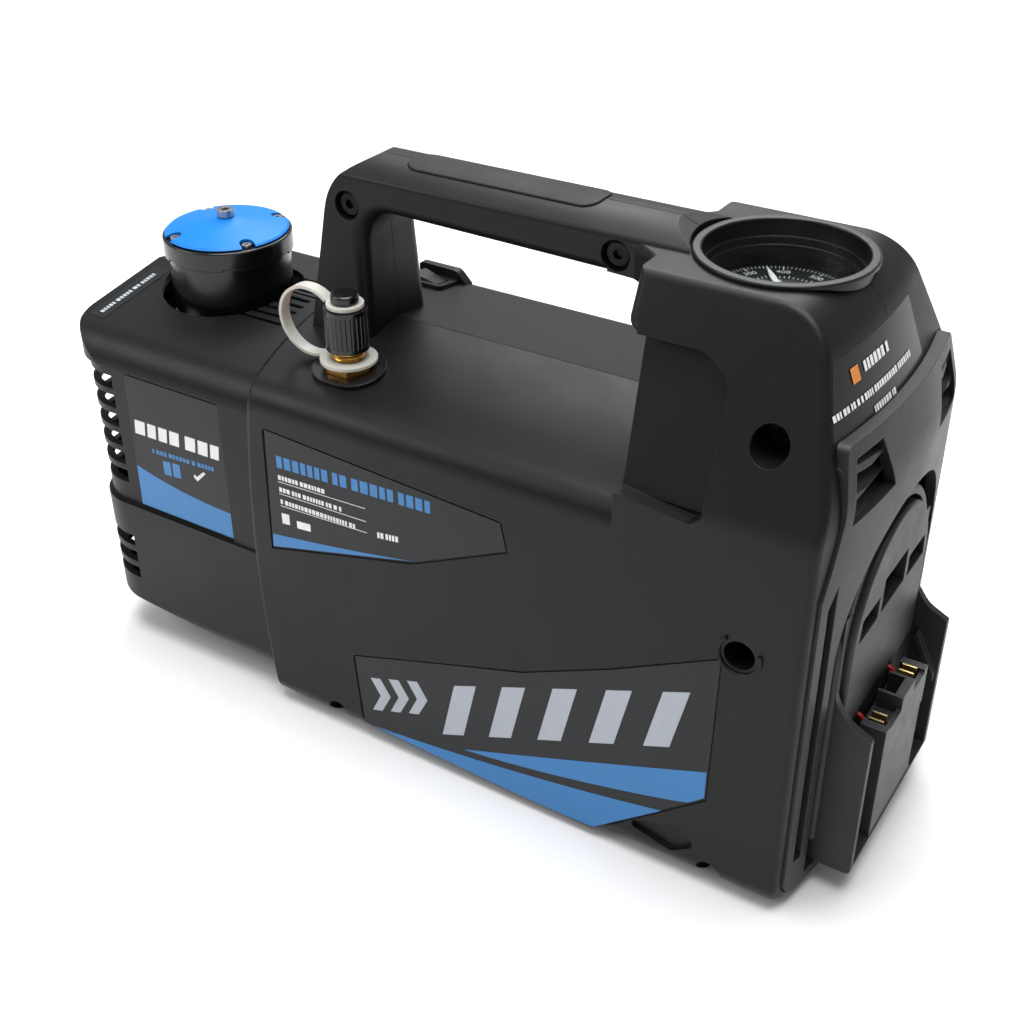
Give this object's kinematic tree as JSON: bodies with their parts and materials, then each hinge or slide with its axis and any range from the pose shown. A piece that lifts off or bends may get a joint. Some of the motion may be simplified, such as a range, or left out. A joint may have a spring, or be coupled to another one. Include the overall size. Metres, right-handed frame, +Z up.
{
  "type": "vacuum pump",
  "caption": "Cordless rotary-vane vacuum pump for air-conditioning service, with a carrying handle, top gauge, capped inlet port, screw-on exhaust cap and a slide-on battery mount.",
  "frame": {"origin": "on the floor under the centre of the bounding box, feet standing on z = 0", "axes": "+X towards the battery end, -Y the side with the inlet port, +Z up"},
  "size_m": [0.329, 0.121, 0.2132],
  "materials": {
    "shell_plastic": "fine spark-textured black moulding",
    "soft_grip": "soft-touch black insert",
    "housing_plastic": "fine-textured black moulding",
    "cap_black": "semi-gloss black",
    "cap_blue": "satin bright blue",
    "stainless_screws": "plain stainless steel",
    "filter_felt": "felted fibre",
    "seal_rubber": "black nitrile",
    "port_brass": "machined brass",
    "grommet_rubber": "satin black",
    "inlet_cap_plastic": "ribbed glossy black",
    "tether_silicone": "translucent white",
    "switch_plastic": "black",
    "rocker_plastic": "black gloss",
    "bezel_plastic": "gloss black",
    "gauge_steel": "black enamel",
    "gauge_brass": "plain brass",
    "dial_face": "matt black print",
    "gauge_glass": "clear",
    "needle_paint": "white paint",
    "frame_plastic": "fine-textured black moulding",
    "mount_plastic": "glass-filled black nylon",
    "terminal_plastic": "glass-filled black nylon",
    "contact_metal": "gold-flashed spring metal",
    "lead_insulation": "red PVC",
    "motor_steel": "black-plated steel",
    "magnet_ceramic": "sintered ferrite",
    "cast_aluminium": "as cast",
    "bearing_steel": "ground",
    "rotor_steel": "ground",
    "fan_plastic": "black nylon",
    "pump_iron": "machined iron",
    "vane_composite": "resin-bonded fibre",
    "plated_screws": "zinc plated",
    "sight_glass_clear": "clear",
    "copper_tube": "drawn copper",
    "board_laminate": "green solder mask",
    "capacitor_can": "sleeved can",
    "inner_plastic": "plain black nylon",
    "black_screws": "black oxide",
    "foot_rubber": "black rubber"
  },
  "bodies": {
    "pump_body": {"battery_contacts": "contact_metal", "battery_mount": "mount_plastic", "battery_slide_plate": "mount_plastic", "board_capacitors": "capacitor_can", "board_cradle": "inner_plastic", "board_heat_sink": "cast_aluminium", "bracket_bolts": "plated_screws", "cap_tether": "tether_silicone", "control_board": "board_laminate", "front_frame": "frame_plastic", "gauge_bezel": "bezel_plastic", "gauge_case": "gauge_steel", "gauge_dial": "dial_face", "gauge_lens": "gauge_glass", "gauge_movement": "gauge_brass", "grip_pad": "soft_grip", "handle_nuts": "plated_screws", "inlet_fitting": "port_brass", "inlet_grommet": "grommet_rubber", "intake_tube": "copper_tube", "lead_plug": "terminal_plastic", "main_shell_left": "shell_plastic", "main_shell_right": "shell_plastic", "motor_bearings": "bearing_steel", "motor_can": "motor_steel", "motor_end_caps": "cast_aluminium", "motor_magnets": "magnet_ceramic", "motor_saddle": "inner_plastic", "oil_case": "cast_aluminium", "oil_case_cover": "cast_aluminium", "power_leads": "lead_insulation", "pump_bracket": "cast_aluminium", "pump_cover_bolts": "plated_screws", "pump_cylinder": "pump_iron", "pump_end_cover": "cast_aluminium", "rear_housing": "housing_plastic", "rubber_feet": "foot_rubber", "shell_screws": "black_screws", "sight_glass": "sight_glass_clear", "sight_glass_ring": "port_brass", "switch_housing": "switch_plastic", "terminal_block": "terminal_plastic"},
    "drive_rotor": {"motor_rotor": "rotor_steel", "cooling_fan": "fan_plastic", "shaft_coupling": "cast_aluminium", "pump_shaft": "rotor_steel", "pump_rotors": "rotor_steel", "rotor_vanes": "vane_composite"},
    "needle": {"gauge_needle": "needle_paint"},
    "exhaust_cap_carrier": {"exhaust_cap_seal": "seal_rubber"},
    "exhaust_cap": {"exhaust_cap_body": "cap_black", "exhaust_cap_lid": "cap_blue", "exhaust_cap_screws": "stainless_screws", "exhaust_cap_filter": "filter_felt"},
    "inlet_cap_carrier": {"cap_tether_ring": "tether_silicone"},
    "inlet_cap_turner": {"inlet_cap": "inlet_cap_plastic", "inlet_cap_seal": "seal_rubber"},
    "rocker": {"switch_rocker": "rocker_plastic"},
    "drain_carrier": {"drain_seal": "seal_rubber"},
    "drain_screw": {"drain_plug": "port_brass"}
  },
  "joints": [
    {"name": "motor_spin", "type": "hinge", "parent": "pump_body", "child": "drive_rotor", "pos_m": [0, 0, 0.072], "axis": [1, 0, 0], "continuous": true},
    {"name": "gauge_sweep", "type": "hinge", "parent": "pump_body", "child": "needle", "pos_m": [0.1045, 0, 0.1949], "axis": [0, 0, 1], "range_deg": [-135, 115]},
    {"name": "exhaust_cap_lift", "type": "slide", "parent": "pump_body", "child": "exhaust_cap_carrier", "axis": [0, 0, 1], "range_m": [0, 0.008]},
    {"name": "exhaust_cap_turn", "type": "hinge", "parent": "exhaust_cap_carrier", "child": "exhaust_cap", "pos_m": [-0.1245, 0, 0.16], "axis": [0, 0, 1], "range_deg": [0, 722]},
    {"name": "inlet_cap_lift", "type": "slide", "parent": "pump_body", "child": "inlet_cap_carrier", "axis": [0, 0, 1], "range_m": [0, 0.0076], "deforming": ["cap_tether"]},
    {"name": "inlet_cap_turn", "type": "hinge", "parent": "inlet_cap_carrier", "child": "inlet_cap_turner", "pos_m": [-0.0385, -0.036, 0.165], "axis": [0, 0, 1], "range_deg": [0, 2162]},
    {"name": "switch_rock", "type": "hinge", "parent": "pump_body", "child": "rocker", "pos_m": [-0.06, 0.0435, 0.14429], "axis": [0, 0.9882, -0.153], "range_deg": [-16, 0]},
    {"name": "drain_pull", "type": "slide", "parent": "pump_body", "child": "drain_carrier", "axis": [-1, 0, 0], "range_m": [0, 0.0075]},
    {"name": "drain_turn", "type": "hinge", "parent": "drain_carrier", "child": "drain_screw", "pos_m": [-0.16, 0, 0.032], "axis": [-1, 0, 0], "range_deg": [0, 1802]}
  ],
  "couplings": [
    {"joint": "exhaust_cap_turn", "follows": "exhaust_cap_lift", "rad_per_m": 1570.8},
    {"joint": "inlet_cap_turn", "follows": "inlet_cap_lift", "rad_per_m": 4947.3},
    {"joint": "drain_turn", "follows": "drain_pull", "rad_per_m": 4188.8}
  ]
}
